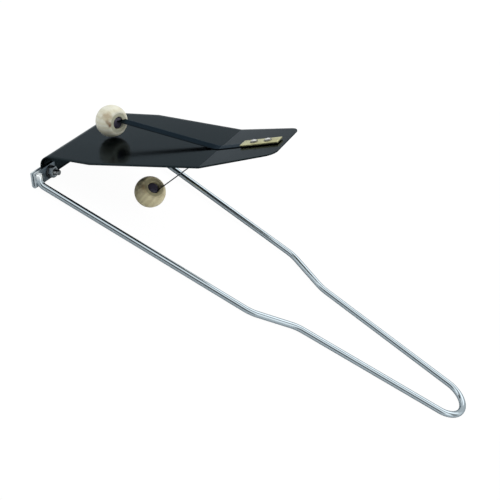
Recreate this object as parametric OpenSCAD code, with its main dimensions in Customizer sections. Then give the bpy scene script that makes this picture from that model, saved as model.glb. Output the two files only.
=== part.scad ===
// Flexatone: a spring steel sheet in a bent rod frame, struck by two wooden beads on flat springs.
// X runs from the head to the end of the handle, Y across, Z up from the surface it rests on.

/* [Rod frame] */
// Thickness of the rod
rod_d = 4.5; // [3.5:0.1:5.5]
// Distance between the two arms at the head, centre to centre
head_spread = 111; // [108.5:0.5:118]
// Distance between the arms where the neck starts
neck_spread = 86.2; // [76:0.5:92]
// Distance between the arms where the handle starts
handle_spread = 55.8; // [46:0.5:64]
// Where the neck starts, from the head
neck_start = 162.1; // [145:1:170]
// Where the handle starts, from the head
handle_start = 193; // [186:1:210]
// Centre of the loop at the end of the handle, from the head
loop_centre = 301.5; // [260:1:330]
// Radius of the loop to the middle of the rod
loop_r = 16.5; // [12:0.5:20]
// Bend radius at both ends of the neck
neck_bend_r = 25; // [12:1:30]
// Length of the stub that is turned up at each end of the rod
stub_len = 7.5; // [5.5:0.1:9]
// Bend radius at the foot of the stub
stub_bend_r = 5; // [4:0.2:6]
// Chamfer on the end of the stub
stub_chamfer = 0.4; // [0.1:0.1:0.8]

/* [Steel sheet] */
// Thickness of the sheet
sheet_t = 0.8; // [0.5:0.05:1.2]
// Width of the sheet in its clamps
root_w = 93; // [84:0.2:98]
// Width of the sheet where it is widest
sheet_w = 102; // [98.6:0.2:104]
// Slope of the sheet above the arms of the frame
sheet_pitch = 29.4; // [24:0.1:34]
// Height of the middle of the sheet over the ends of the arms, square to the sheet
sheet_rise = 16.4; // [15:0.1:20]
// Distance from the head at which the sheet starts to narrow
taper_start = 36; // [26:1:50]
// Distance from the head to the crease
crease_reach = 107; // [100:1:116]
// Width of the sheet at the crease
crease_w = 74.2; // [64:1:86]
// Outer radius of the rolled root
root_bend_r = 8; // [6:0.2:9.5]
// How far the flange hangs below the ends of the arms
flange_drop = 0.8; // [0.6:0.1:2.4]
// Distance from the head at which the tongue starts to flex
flex_start = 8; // [6:0.5:12]
// Gap between the fixed root and the flexing tongue
flex_gap = 0.2; // [0.1:0.05:0.4]

/* [Thumb tab] */
// Length of the thumb tab from the crease
tab_len = 48; // [46:0.5:60]
// Width of the thumb tab at its end
tab_end_w = 49.6; // [36:1:60]
// Angle that the tab is bent up at the crease
tab_bend = 11.6; // [4:0.1:20]
// Radius of the two corners of the tab
tab_corner_r = 8.5; // [3:0.5:12]

/* [Clamps] */
// Thickness of the clamp's metal
clamp_gauge = 1.4; // [0.8:0.1:2]
// Length of the clamp across the head
clamp_len = 24; // [20:0.5:28]
// Height of the clamp over the ends of the arms
clamp_top = 8; // [7.6:0.1:8.4]
// How far the clamp stands out past the middle of the arm
clamp_overhang = 1.5; // [0.5:0.1:2.5]
// Play between the sheet and each leaf of the clamp
clamp_play = 0.05; // [0.02:0.01:0.15]
// Size of the weld beside the stub
weld_leg = 1.1; // [0.6:0.1:1.6]
// Thickness of the clamp bolt
bolt_d = 4; // [3:0.1:5]
// Distance of the clamp bolt inward from the middle of the arm
bolt_inset = 16; // [12:0.5:17]
// Height of the clamp bolt over the ends of the arms
bolt_height = 3; // [2.6:0.1:3.4]
// How far the bolt stands out past its nut
bolt_tip = 3.4; // [1:0.1:6]
// Thickness of the bolt's head
bolt_head_t = 2.3; // [1.6:0.1:2.4]
// Distance across the flats of the clamp nut and of the bolt's head
nut_flats = 7; // [6:0.1:8]
// Thickness of the clamp nut
nut_t = 3.2; // [2:0.1:5]
// Diameter of the clamp washer
washer_d = 9; // [8.6:0.1:9.2]
// Thickness of the clamp washer
washer_t = 0.8; // [0.5:0.1:1.4]
// Clearance all round a bolt or screw in its holes
hole_play = 0.12; // [0.05:0.01:0.3]

/* [Brass plates] */
// Length of each brass plate
plate_len = 26.8; // [22:0.2:32]
// Width of each brass plate
plate_w = 9.6; // [8.2:0.2:16]
// Thickness of each brass plate
plate_t = 1.3; // [0.8:0.1:2.5]
// Distance from the crease to the middle of the plates
plate_centre = 30; // [27:0.5:31]
// Distance between the two plate screws
screw_pitch = 9.8; // [7.5:0.5:14]
// Thickness of the plate screws
screw_d = 3; // [2:0.1:3.6]
// Diameter of the screw heads
screw_head_d = 5.5; // [4.5:0.1:6.8]
// Height of the screw heads
screw_head_h = 1.9; // [1.2:0.1:2.6]
// Width of the screwdriver slot
screw_slot_w = 0.8; // [0.4:0.1:1.2]
// Depth of the screwdriver slot
screw_slot_depth = 0.8; // [0.3:0.1:1.1]
// Distance across the flats of the plate nuts
plate_nut_flats = 5.5; // [5:0.1:6.5]
// Thickness of the plate nuts
plate_nut_t = 2.4; // [1.5:0.1:3.5]
// How far the plate screws stand out past their nuts
screw_tip = 0.8; // [0.2:0.1:3]

/* [Flat springs] */
// Width of the spring strips
strip_w = 7.4; // [5:0.2:8]
// How far the strips and plates sit to the near side
strip_side = 0.8; // [0:0.1:3]
// Thickness of the spring strips
strip_t = 0.5; // [0.3:0.05:0.8]
// How far the strips stop short of the far end of the plates
strip_setback = 1; // [0.2:0.1:3]
// How far the upper strip runs on over the crease before it lifts
upper_run = 3.5; // [2:0.1:8]
// How far the lower strip runs on under the crease before it drops
lower_run = 6.2; // [3:0.1:10]
// Angle at which the upper strip lifts off the sheet
upper_lift = 10.15; // [9.9:0.05:16]
// Angle at which the lower strip drops from the sheet
lower_drop = 38; // [30:0.1:38.2]
// Gap between the fixed and the flexing stretch of each strip
strip_gap = 0.3; // [0.2:0.05:0.5]
// How far each strip runs on past the middle of its bead
strip_past = 5; // [2:0.5:7]
// Clearance all round a strip in its bead
slot_play = 0.1; // [0.05:0.01:0.2]

/* [Beads] */
// Diameter of the wooden beads
bead_d = 22; // [18:0.1:22.3]
// Length of a bead between its two flat ends
bead_len = 14.4; // [11:0.2:17]
// Diameter of the bore through a bead
bore_d = 8.3; // [6.5:0.1:10]
// Clearance between a plug and its bore
plug_play = 0.05; // [0.02:0.01:0.1]
// How far the end of a plug lies below the flat of its bead
plug_recess = 0.4; // [0.1:0.1:2]
// Distance along the upper strip from its bend to its bead
upper_reach = 77.7; // [72:0.1:86]
// Distance along the lower strip from its bend to its bead
lower_reach = 60.2; // [54:0.1:60.5]
// Distance of each strip from the middle of its bead
strip_offset = 2.3; // [1.5:0.1:2.4]
// How far the upper bead sits to the near side of its strip
upper_side = 0.2; // [0:0.1:2]
// How far the lower bead sits to the near side of its strip
lower_side = 1.6; // [0:0.1:2]
// Tip of each bore away from its strip, upward
bore_tip = 9; // [0:0.5:14]
// Turn of each bore away from its strip, to the near side
bore_turn = 20; // [0:0.5:25]

/* [Hidden] */
$fn = 64;

// Directions of the straight stretches of the far arm, seen from above
neck_pt = [neck_start, neck_spread / 2];
handle_pt = [handle_start, handle_spread / 2];
head_pt = [0, head_spread / 2];
loop_pt = [loop_centre, 0];
arm_dir = direction(head_pt, neck_pt);
neck_dir = direction(neck_pt, handle_pt);
leg_dir = direction(handle_pt, loop_pt) + asin(loop_r / norm(loop_pt - handle_pt));
leg_len = sqrt(pow(norm(loop_pt - handle_pt), 2) - loop_r * loop_r);
neck_cut = neck_bend_r * tan((arm_dir - neck_dir) / 2);
handle_cut = neck_bend_r * tan((leg_dir - neck_dir) / 2);
rod_lap = 0.5;
rod_shy = 0.06;
bend_r = rod_d / 2 - rod_shy;
stub_turn = 90 - sheet_pitch;
stub_cut = stub_bend_r * tan(stub_turn / 2);

// Places in the head: along the sheet from the ends of the arms, and square to it
clamp_gap = sheet_t + 2 * clamp_play;
clamp_face = -rod_d / 2 - clamp_play;
flange_mid = clamp_face - clamp_gauge - clamp_gap / 2;
clamp_back = clamp_face - 2 * clamp_gauge - clamp_gap;
clamp_end = head_spread / 2 + clamp_overhang;
fold_r = clamp_gauge + clamp_gap / 2;
bolt_across = head_spread / 2 - bolt_inset;
nut_face = clamp_face + washer_t;
root_centre = flange_mid - sheet_t / 2 + root_bend_r;
skin = sheet_t / 2;

// Corners of the tab, seen square to the main sheet
tab_reach = crease_reach + tab_len * cos(tab_bend);
tab_narrowing = (crease_w - tab_end_w) / 2 / (tab_reach - crease_reach);
tab_secant = sqrt(1 + tab_narrowing * tab_narrowing);
corner_at = [tab_reach - tab_corner_r,
             tab_end_w / 2 + tab_narrowing * tab_corner_r - tab_corner_r * tab_secant];
corner_touch = corner_at + tab_corner_r / tab_secant * [tab_narrowing, 1];

// Heights over and under the middle of the tab
strip_mid = skin + strip_t / 2;
plate_under = skin + strip_t;
plate_over = plate_under + plate_t;
strip_tail = plate_centre + plate_len / 2 - strip_setback;

// The bends of the two strips, in the head
crease_pt = [crease_reach, sheet_rise];
upper_line = [crease_pt + turned([strip_tail, strip_mid], tab_bend),
              crease_pt + strip_mid * [-tan(tab_bend / 2), 1],
              [crease_reach - upper_run, sheet_rise + strip_mid]];
lower_line = [crease_pt + turned([strip_tail, -strip_mid], tab_bend),
              crease_pt + turned([-lower_run, -strip_mid], tab_bend)];
upper_bend = upper_line[2];
lower_bend = lower_line[1];

// The part stands on the folds of its clamps and on the end of its loop
fold_pt = turned([flange_mid, -flange_drop], sheet_pitch);
loop_end = loop_centre + loop_r;
rest_span = norm([loop_end, 0] - fold_pt);
rest_tilt = direction(fold_pt, [loop_end, 0]) - asin((bend_r - fold_r) / rest_span);
rest_lift = loop_end * sin(rest_tilt) + bend_r;
head_tilt = sheet_pitch - rest_tilt;
bolt_back = turned([clamp_back - bolt_head_t, bolt_height + nut_flats / 2], head_tilt)[0];
clamp_corner = turned([clamp_back, clamp_top], head_tilt)[0];
front_x = min(bolt_back, clamp_corner);
back_x = loop_end * cos(rest_tilt) + bend_r;
middle_x = (front_x + back_x) / 2;

// Direction from p to q, in degrees
function direction(p, q) = atan2(q[1] - p[1], q[0] - p[0]);

// A point turned about the origin
function turned(p, a) = [p[0] * cos(a) - p[1] * sin(a), p[0] * sin(a) + p[1] * cos(a)];

// The unit vector to the left of the way from p to q
function left_of(p, q) = [p[1] - q[1], q[0] - p[0]] / norm(q - p);

// A point of a bent line, moved to its left by h with a mitre
function mitred(line, i, h) =
    let (before = i > 0 ? left_of(line[i - 1], line[i]) : left_of(line[0], line[1]),
         after = i < len(line) - 1 ? left_of(line[i], line[i + 1]) : before,
         both = before + after)
    line[i] + h * both / (both * before);

// The outline of a strip of thickness t along a bent line
function band(line, t) = concat(
    [for (i = [0 : len(line) - 1]) mitred(line, i, t / 2)],
    [for (i = [len(line) - 1 : -1 : 0]) mitred(line, i, -t / 2)]);

// From the frame's own axes to the part as it rests
module at_rest() {
    translate([-middle_x, 0, rest_lift]) rotate([0, rest_tilt, 0]) children();
}

// Along the sheet and square to it, from the ends of the arms
module in_head() {
    at_rest() rotate([0, -sheet_pitch, 0]) children();
}

// Along the thumb tab and square to it, from the crease
module in_tab() {
    in_head() translate([crease_reach, -strip_side, sheet_rise]) rotate([0, -tab_bend, 0])
        children();
}

// A side view, drawn out to a width across the part
module across(width) {
    rotate([90, 0, 0]) translate([0, 0, -width / 2]) linear_extrude(width) children();
}

// On the near or the far side
module near_side() {
    mirror([0, 1, 0]) children();
}

// Straights run a little way into the bends, which are drawn thinner by a hair
module rod_straight(length) {
    translate([-rod_lap, 0, 0]) rotate([0, 90, 0]) cylinder(d = rod_d, h = length + 2 * rod_lap);
}

module rod_bend(radius, angle) {
    rotate_extrude(angle = angle) translate([radius, 0]) circle(r = bend_r);
}

// One arm, from the loop over the neck to the stub at the head
module rod_arm() {
    translate(head_pt) rotate([0, 0, arm_dir]) {
        translate([stub_cut, 0, 0]) rod_straight(norm(neck_pt - head_pt) - stub_cut - neck_cut);
        translate([stub_cut, 0, stub_bend_r]) rotate([90, 0, 0]) rotate([0, 0, -90 - stub_turn])
            rod_bend(stub_bend_r, stub_turn);
        rotate([0, -sheet_pitch, 0]) {
            translate([0, 0, stub_cut - rod_lap])
                cylinder(d = rod_d, h = stub_len - stub_chamfer - stub_cut + rod_lap);
            translate([0, 0, stub_len - stub_chamfer])
                cylinder(d1 = rod_d, d2 = rod_d - 2 * stub_chamfer, h = stub_chamfer);
        }
    }
    translate(neck_pt) rotate([0, 0, arm_dir]) translate([-neck_cut, -neck_bend_r, 0])
        rotate([0, 0, 90 + neck_dir - arm_dir]) rod_bend(neck_bend_r, arm_dir - neck_dir);
    translate(neck_pt) rotate([0, 0, neck_dir]) translate([neck_cut, 0, 0])
        rod_straight(norm(handle_pt - neck_pt) - neck_cut - handle_cut);
    translate(handle_pt) rotate([0, 0, neck_dir]) translate([-handle_cut, neck_bend_r, 0])
        rotate([0, 0, -90]) rod_bend(neck_bend_r, leg_dir - neck_dir);
    translate(handle_pt) rotate([0, 0, leg_dir]) translate([handle_cut, 0, 0])
        rod_straight(leg_len - handle_cut);
}

module handle_frame() {
    color("silver") at_rest() {
        rod_arm();
        near_side() rod_arm();
        translate(loop_pt) rotate([0, 0, -90 - leg_dir]) rod_bend(loop_r, 180 + 2 * leg_dir);
    }
}

// Clamp of the far side: a strip folded under the lower edge of the flange
module clamp_ear() {
    difference() {
        translate([flange_mid, clamp_end - clamp_len / 2, -flange_drop]) difference() {
            across(clamp_len) fold_outline(fold_r, clamp_top + flange_drop);
            across(clamp_len + 2) fold_outline(clamp_gap / 2, clamp_top + flange_drop + 1);
        }
        translate([clamp_back - 1, bolt_across, bolt_height]) rotate([0, 90, 0])
            cylinder(d = bolt_d + 2 * hole_play, h = clamp_face - clamp_back + 2);
    }
    stub_weld();
}

// A slot's outline, round at the bottom and open at the top
module fold_outline(radius, height) {
    intersection() {
        circle(r = radius);
        translate([-radius, -radius]) square([2 * radius, radius]);
    }
    translate([-radius, 0]) square([2 * radius, height]);
}

// Weld fillets on both sides of the stub of the far arm
module stub_weld() {
    weld_low = stub_cut + 0.3;
    weld_high = stub_len - 1;
    difference() {
        translate([clamp_face, head_spread / 2 - rod_d / 2, weld_low])
            cube([weld_leg, clamp_overhang + rod_d / 2, weld_high - weld_low]);
        rotate([0, sheet_pitch, 0]) translate(head_pt) rotate([0, 0, arm_dir])
            rotate([0, -sheet_pitch, 0]) cylinder(d = rod_d + clamp_play, h = stub_len + 1);
    }
}

module near_clamp() {
    color("lightsteelblue") in_head() near_side() clamp_ear();
}

module far_clamp() {
    color("lightsteelblue") in_head() clamp_ear();
}

// A bolt of the far clamp, its head on the outer leaf
module clamp_bolt() {
    translate([clamp_back, bolt_across, bolt_height]) rotate([0, 90, 0]) {
        cylinder(d = bolt_d, h = nut_face + nut_t + bolt_tip - clamp_back);
        translate([0, 0, -bolt_head_t]) hexagon(nut_flats, bolt_head_t);
    }
}

module hexagon(flats, height) {
    linear_extrude(height) hexagon_outline(flats);
}

module hexagon_outline(flats) {
    rotate(30) circle(d = flats / cos(30), $fn = 6);
}

module near_clamp_bolt() {
    color("dimgray") in_head() near_side() clamp_bolt();
}

module far_clamp_bolt() {
    color("dimgray") in_head() clamp_bolt();
}

module clamp_washer() {
    translate([clamp_face, bolt_across, bolt_height]) rotate([0, 90, 0]) difference() {
        cylinder(d = washer_d, h = washer_t);
        translate([0, 0, -1]) cylinder(d = bolt_d + 2 * hole_play, h = washer_t + 2);
    }
}

module near_clamp_washer() {
    color("black") in_head() near_side() clamp_washer();
}

module far_clamp_washer() {
    color("black") in_head() clamp_washer();
}

module clamp_nut() {
    translate([nut_face, bolt_across, bolt_height]) rotate([0, 90, 0])
        tapped(nut_t, bolt_d) hexagon(nut_flats, nut_t);
}

// A nut's hole, a running fit on the plain shank that stands for the thread
module tapped(height, shank) {
    difference() {
        children();
        translate([0, 0, -1]) cylinder(d = shank + 2 * plug_play, h = height + 2);
    }
}

module near_clamp_nut() {
    color("lightslategray") in_head() near_side() clamp_nut();
}

module far_clamp_nut() {
    color("lightslategray") in_head() clamp_nut();
}

// The flange, the rolled root and the start of the sheet
module sheet_root() {
    color("darkslategray") in_head() difference() {
        intersection() {
            across(sheet_w) root_profile();
            translate([0, 0, -flange_drop - 1]) linear_extrude(sheet_rise + 10) sheet_outline();
        }
        for (side = [-1, 1])
            translate([flange_mid - sheet_t, side * bolt_across, bolt_height]) rotate([0, 90, 0])
                cylinder(d = bolt_d + 2 * hole_play, h = 2 * sheet_t);
    }
}

module root_profile() {
    roll_height = sheet_rise + skin - root_bend_r;
    translate([flange_mid - skin, -flange_drop]) square([sheet_t, roll_height + flange_drop]);
    translate([root_centre, sheet_rise - skin])
        square([flex_start - flex_gap / 2 - root_centre, sheet_t]);
    intersection() {
        translate([root_centre, roll_height]) difference() {
            circle(r = root_bend_r);
            circle(r = root_bend_r - sheet_t);
        }
        translate([root_centre - root_bend_r, roll_height]) square(root_bend_r);
    }
}

// The flexing sheet with its thumb tab
module sheet_tongue() {
    color("darkslategray") difference() {
        in_head() intersection() {
            across(sheet_w) polygon(band(tongue_line(), sheet_t));
            translate([0, 0, sheet_rise - sheet_t]) linear_extrude(tab_len) sheet_outline();
        }
        plate_holes();
    }
}

function tongue_line() = [[flex_start + flex_gap / 2, sheet_rise], crease_pt,
                          crease_pt + turned([tab_len, 0], tab_bend)];

module sheet_outline() {
    far_edge = [[root_centre - 2 * root_bend_r, root_w / 2], [flange_mid, root_w / 2],
                [taper_start, sheet_w / 2], [crease_reach, crease_w / 2],
                [tab_reach + 1, tab_end_w / 2 - tab_narrowing]];
    near_edge = [for (i = [len(far_edge) - 1 : -1 : 0]) [far_edge[i][0], -far_edge[i][1]]];
    difference() {
        polygon(concat(far_edge, near_edge));
        corner_cut();
        mirror([0, 1]) corner_cut();
    }
}

// What is taken off one corner of the tab to round it
module corner_cut() {
    difference() {
        polygon([corner_touch, corner_touch + [0, 2], [tab_reach + 2, corner_touch[1] + 2],
                 [tab_reach + 2, corner_at[1]], corner_at]);
        translate(corner_at) circle(r = tab_corner_r);
    }
}

// Holes for the two plate screws through everything that the plates clamp
module plate_holes() {
    in_tab() for (side = [-1, 1])
        translate([plate_centre + side * screw_pitch / 2, 0, -plate_over - 1])
            cylinder(d = screw_d + 2 * hole_play, h = 2 * plate_over + 2);
}

module upper_spring_root() {
    color("black") difference() {
        in_head() translate([0, -strip_side, 0])
            across(strip_w) polygon(band(shortened(upper_line), strip_t));
        plate_holes();
    }
}

module lower_spring_root() {
    color("black") difference() {
        in_head() translate([0, -strip_side, 0])
            across(strip_w) polygon(band(shortened(lower_line), strip_t));
        plate_holes();
    }
}

// A bent line whose last point is drawn back by half of the gap at the bend
function shortened(line) =
    let (last = len(line) - 1, from = line[last - 1], to = line[last])
    [for (i = [0 : last]) i < last ? line[i] : to + strip_gap / 2 * (from - to) / norm(from - to)];

// Along a strip from its bend, with its bead towards minus X
module in_upper_arm() {
    in_head() translate([upper_bend[0], -strip_side, upper_bend[1]]) rotate([0, upper_lift, 0])
        children();
}

module in_lower_arm() {
    in_head() translate([lower_bend[0], -strip_side, lower_bend[1]]) rotate([0, -lower_drop, 0])
        children();
}

module spring_arm(reach) {
    translate([-reach - strip_past, -strip_w / 2, -strip_t / 2])
        cube([reach + strip_past - strip_gap / 2, strip_w, strip_t]);
}

module upper_spring_arm() {
    color("black") in_upper_arm() spring_arm(upper_reach);
}

module lower_spring_arm() {
    color("black") in_lower_arm() spring_arm(lower_reach);
}

// The slot that a strip fills in its bead and plug
module strip_slot(reach) {
    translate([-reach - strip_past - slot_play, -strip_w / 2 - slot_play, -strip_t / 2 - slot_play])
        cube([reach + strip_past, strip_w + 2 * slot_play, strip_t + 2 * slot_play]);
}

// The middle of a bead, with X along its bore; face is 1 with the bead above its strip
module at_bead(reach, side, face) {
    translate([-reach, -side, face * strip_offset]) rotate([0, -bore_tip, 0])
        rotate([0, 0, -bore_turn]) children();
}

module bead(reach, side, face) {
    difference() {
        at_bead(reach, side, face) difference() {
            intersection() {
                sphere(d = bead_d);
                cube([bead_len, bead_d + 1, bead_d + 1], center = true);
            }
            rotate([0, 90, 0]) cylinder(d = bore_d, h = bead_len + 2, center = true);
        }
        strip_slot(reach);
    }
}

module bead_plug(reach, side, face) {
    difference() {
        at_bead(reach, side, face) rotate([0, 90, 0])
            cylinder(d = bore_d - 2 * plug_play, h = bead_len - 2 * plug_recess, center = true);
        strip_slot(reach);
    }
}

module upper_bead() {
    color("wheat") in_upper_arm() bead(upper_reach, upper_side, -1);
}

module lower_bead() {
    color("tan") in_lower_arm() bead(lower_reach, lower_side, 1);
}

module upper_bead_plug() {
    color("indigo") in_upper_arm() bead_plug(upper_reach, upper_side, -1);
}

module lower_bead_plug() {
    color("indigo") in_lower_arm() bead_plug(lower_reach, lower_side, 1);
}

module brass_plate(low) {
    difference() {
        in_tab() translate([plate_centre - plate_len / 2, -plate_w / 2, low])
            cube([plate_len, plate_w, plate_t]);
        plate_holes();
    }
}

module top_plate() {
    color("gold") brass_plate(plate_under);
}

module bottom_plate() {
    color("gold") brass_plate(-plate_over);
}

// A round head screw with a screwdriver slot, down through both plates
module plate_screw(place) {
    dome_r = (screw_head_d * screw_head_d / 4 + screw_head_h * screw_head_h) / 2 / screw_head_h;
    shank = 2 * plate_over + plate_nut_t + screw_tip;
    in_tab() translate([place, 0, plate_over]) {
        translate([0, 0, -shank]) cylinder(d = screw_d, h = shank);
        difference() {
            intersection() {
                translate([0, 0, screw_head_h - dome_r]) sphere(r = dome_r);
                cylinder(d = screw_head_d, h = screw_head_h + 1);
            }
            rotate([0, 0, 60]) translate([0, 0, screw_head_h - screw_slot_depth / 2 + 0.5])
                cube([screw_head_d + 1, screw_slot_w, screw_slot_depth + 1], center = true);
        }
    }
}

module front_plate_screw() {
    color("silver") plate_screw(plate_centre + screw_pitch / 2);
}

module rear_plate_screw() {
    color("silver") plate_screw(plate_centre - screw_pitch / 2);
}

module plate_nut(place) {
    in_tab() translate([place, 0, -plate_over - plate_nut_t])
        tapped(plate_nut_t, screw_d) hexagon(plate_nut_flats, plate_nut_t);
}

module front_plate_nut() {
    color("silver") plate_nut(plate_centre + screw_pitch / 2);
}

module rear_plate_nut() {
    color("silver") plate_nut(plate_centre - screw_pitch / 2);
}

handle_frame();
near_clamp();
far_clamp();
near_clamp_bolt();
far_clamp_bolt();
near_clamp_washer();
far_clamp_washer();
near_clamp_nut();
far_clamp_nut();
sheet_root();
sheet_tongue();
upper_spring_root();
upper_spring_arm();
lower_spring_root();
lower_spring_arm();
top_plate();
bottom_plate();
front_plate_screw();
rear_plate_screw();
front_plate_nut();
rear_plate_nut();
upper_bead();
lower_bead();
upper_bead_plug();
lower_bead_plug();
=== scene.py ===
"""A flexatone: a springy black steel sheet held in a bent rod frame, with two wooden beads on flat
springs that strike it from both sides while the thumb bends the sheet."""

import math

import bmesh
import bpy
from mathutils import Matrix, Vector


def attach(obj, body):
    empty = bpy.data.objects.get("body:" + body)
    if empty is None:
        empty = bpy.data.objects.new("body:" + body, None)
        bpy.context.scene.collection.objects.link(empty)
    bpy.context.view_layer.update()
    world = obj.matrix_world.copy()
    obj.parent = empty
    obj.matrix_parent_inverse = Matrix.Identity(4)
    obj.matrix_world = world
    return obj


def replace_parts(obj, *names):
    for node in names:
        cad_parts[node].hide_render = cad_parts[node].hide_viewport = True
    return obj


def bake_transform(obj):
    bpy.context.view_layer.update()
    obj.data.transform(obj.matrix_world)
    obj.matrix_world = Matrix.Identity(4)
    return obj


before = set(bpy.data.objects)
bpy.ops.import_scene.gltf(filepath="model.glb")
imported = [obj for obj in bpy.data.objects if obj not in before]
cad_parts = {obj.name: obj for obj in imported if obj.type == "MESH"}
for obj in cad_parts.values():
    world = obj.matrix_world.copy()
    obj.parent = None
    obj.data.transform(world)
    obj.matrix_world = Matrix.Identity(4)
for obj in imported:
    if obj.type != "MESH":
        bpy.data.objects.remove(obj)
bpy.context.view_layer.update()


# Camera
# A slightly long lens on the near side, which looks down across the head and is rolled so that
# the handle runs down to the right.

camera_data = bpy.data.cameras.new("camera")
camera_data.sensor_width = 36.0
camera_data.lens = 67.13
camera_data.clip_start = 0.02
camera_data.clip_end = 40.0
camera = bpy.data.objects.new("camera", camera_data)
bpy.context.scene.collection.objects.link(camera)
camera_place = Vector((0.032701, -0.534240, 0.375062))
ahead = Vector((-0.078709, 0.826943, -0.556750))
rightward = Vector((0.832936, 0.361409, 0.419048))
rightward = (rightward - rightward.dot(ahead) * ahead).normalized()
upward = rightward.cross(ahead)
camera.matrix_world = Matrix((
    (rightward.x, upward.x, -ahead.x, camera_place.x),
    (rightward.y, upward.y, -ahead.y, camera_place.y),
    (rightward.z, upward.z, -ahead.z, camera_place.z),
    (0.0, 0.0, 0.0, 1.0),
))
bpy.context.scene.camera = camera


# Table top and studio
# A pale matt table under two long bright windows in the ceiling and one soft light, in a room that
# is dark behind the camera. The lit paper that the camera sees lies on a duller board, and
# only the board is mirrored in the metal and throws light back up.

TABLE_HALF = 5.0
BOARD_DROP = 0.0002
DAYLIGHT = ((0.0, 0.12), (0.08, 0.15), (0.15, 0.80), (0.22, 1.45), (0.34, 1.45), (0.43, 0.40),
            (0.57, 0.40), (0.66, 1.0), (0.76, 1.0), (0.84, 0.74), (1.0, 0.74))
DAYLIGHT_TINT = (0.965, 1.0, 1.005)
CORNERS = ((-1, -1), (1, -1), (1, 1), (-1, 1))


class Socket:
    """A shader socket that takes part in sums, so that a pattern is written as a formula."""

    def __init__(self, tree, link):
        self.tree = tree
        self.link = link

    def math(self, operation, *others):
        inputs = {i: other for i, other in enumerate((self,) + others)}
        return add_node(self.tree, "ShaderNodeMath", {"operation": operation}, inputs)

    def __add__(self, other):
        return self.math("ADD", other)

    __radd__ = __add__

    def __mul__(self, other):
        return self.math("MULTIPLY", other)

    __rmul__ = __mul__

    def __sub__(self, other):
        return self.math("SUBTRACT", other)

    def __rsub__(self, other):
        return add_node(self.tree, "ShaderNodeMath", {"operation": "SUBTRACT"}, {0: other, 1: self})

    def clamped(self, low=0.0, high=1.0):
        return self.math("MAXIMUM", low).math("MINIMUM", high)


def add_node(tree, kind, settings=None, inputs=None, output=0):
    """Adds a node, first its settings, then the values and links of its sockets."""
    node = tree.nodes.new(kind)
    for key, value in (settings or {}).items():
        if key == "stops":
            ramp = node.color_ramp
            while len(ramp.elements) < len(value):
                ramp.elements.new(0.5)
            for element, (place, colour) in zip(ramp.elements, value):
                element.position = place
                element.color = (*colour, 1.0)
        else:
            setattr(node, key, value)
    for key, value in (inputs or {}).items():
        if isinstance(value, Socket):
            tree.links.new(value.link, node.inputs[key])
        else:
            node.inputs[key].default_value = value
    return Socket(tree, node.outputs[output])


def new_finish(name, **fixed):
    """A material with its principled shader, and the values that are the same all over it."""
    finish = bpy.data.materials.new(name)
    finish.use_nodes = True
    shader = finish.node_tree.nodes["Principled BSDF"]
    for key, value in fixed.items():
        shader.inputs[key.replace("_", " ")].default_value = value
    return finish, finish.node_tree, shader


def feed(shader, **sockets):
    """Links what changes over the surface to the shader."""
    for key, value in sockets.items():
        value.tree.links.new(value.link, shader.inputs[key.replace("_", " ")])


def own_place(tree):
    """The piece's own coordinates in metres."""
    return add_node(tree, "ShaderNodeTexCoord", output=3)


def placed(tree, turn=(0.0, 0.0, 0.0), scale=(1.0, 1.0, 1.0)):
    """The piece's own coordinates, turned and stretched by a Mapping node."""
    return add_node(tree, "ShaderNodeMapping", {},
                    {"Vector": own_place(tree), "Rotation": turn, "Scale": scale})


def noise(tree, where, scale, detail=3.0, roughness=0.5, distortion=0.0):
    return add_node(tree, "ShaderNodeTexNoise", {"noise_dimensions": "3D"},
                    {"Vector": where, "Scale": scale, "Detail": detail, "Roughness": roughness,
                     "Distortion": distortion})


def two_colours(tree, share, first, second):
    """A colour between two others; either may be a socket."""
    fixed = {key: value if isinstance(value, Socket) else (*value, 1.0)
             for key, value in ((6, first), (7, second))}
    return add_node(tree, "ShaderNodeMix", {"data_type": "RGBA"}, {0: share, **fixed}, output=2)


def bumped(tree, height, distance, strength):
    return add_node(tree, "ShaderNodeBump", {},
                    {"Height": height, "Distance": distance, "Strength": strength})


def flat_plane(name, height, finish):
    """A ten metre square that the object stands on."""
    mesh = bpy.data.meshes.new(name)
    mesh.from_pydata([(x * TABLE_HALF, y * TABLE_HALF, height) for x, y in CORNERS], [],
                     [(0, 1, 2, 3)])
    mesh.materials.append(finish)
    plane = bpy.data.objects.new(name, mesh)
    bpy.context.scene.collection.objects.link(plane)
    return plane


def dull_finish(name, first, second, glow):
    """Matt fibrous card, which may shine by itself."""
    finish, tree, shader = new_finish(name, Roughness=0.9, Specular_IOR_Level=0.1,
                                      Emission_Color=(1.0, 1.0, 1.0, 1.0), Emission_Strength=glow)
    fibre = noise(tree, placed(tree), 9.0, 2.0)
    feed(shader, Base_Color=two_colours(tree, fibre, first, second))
    return finish


white_paper = dull_finish("white_paper", (0.05, 0.05, 0.052), (0.06, 0.06, 0.06), glow=0.965)
paper = flat_plane("table_paper", 0.0, white_paper)
paper.visible_diffuse = False
paper.visible_glossy = False
paper.visible_shadow = False
pale_board = dull_finish("pale_board", (0.70, 0.72, 0.73), (0.74, 0.75, 0.76), glow=0.0)
board = flat_plane("table_board", -BOARD_DROP, pale_board)
board.visible_camera = False

room = bpy.data.worlds.new("room")
room.use_nodes = True
tree = room.node_tree
beyond = add_node(tree, "ShaderNodeSeparateXYZ", {}, {0: add_node(tree, "ShaderNodeTexCoord")},
                  output=1)
windows = add_node(
    tree, "ShaderNodeValToRGB",
    {"stops": [(place, [light * tint for tint in DAYLIGHT_TINT]) for place, light in DAYLIGHT]},
    {"Fac": beyond * 0.5 + 0.5})
tree.links.new(windows.link, tree.nodes["Background"].inputs["Color"])
bpy.context.scene.world = room
bpy.context.scene.view_settings.view_transform = "Standard"


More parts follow.
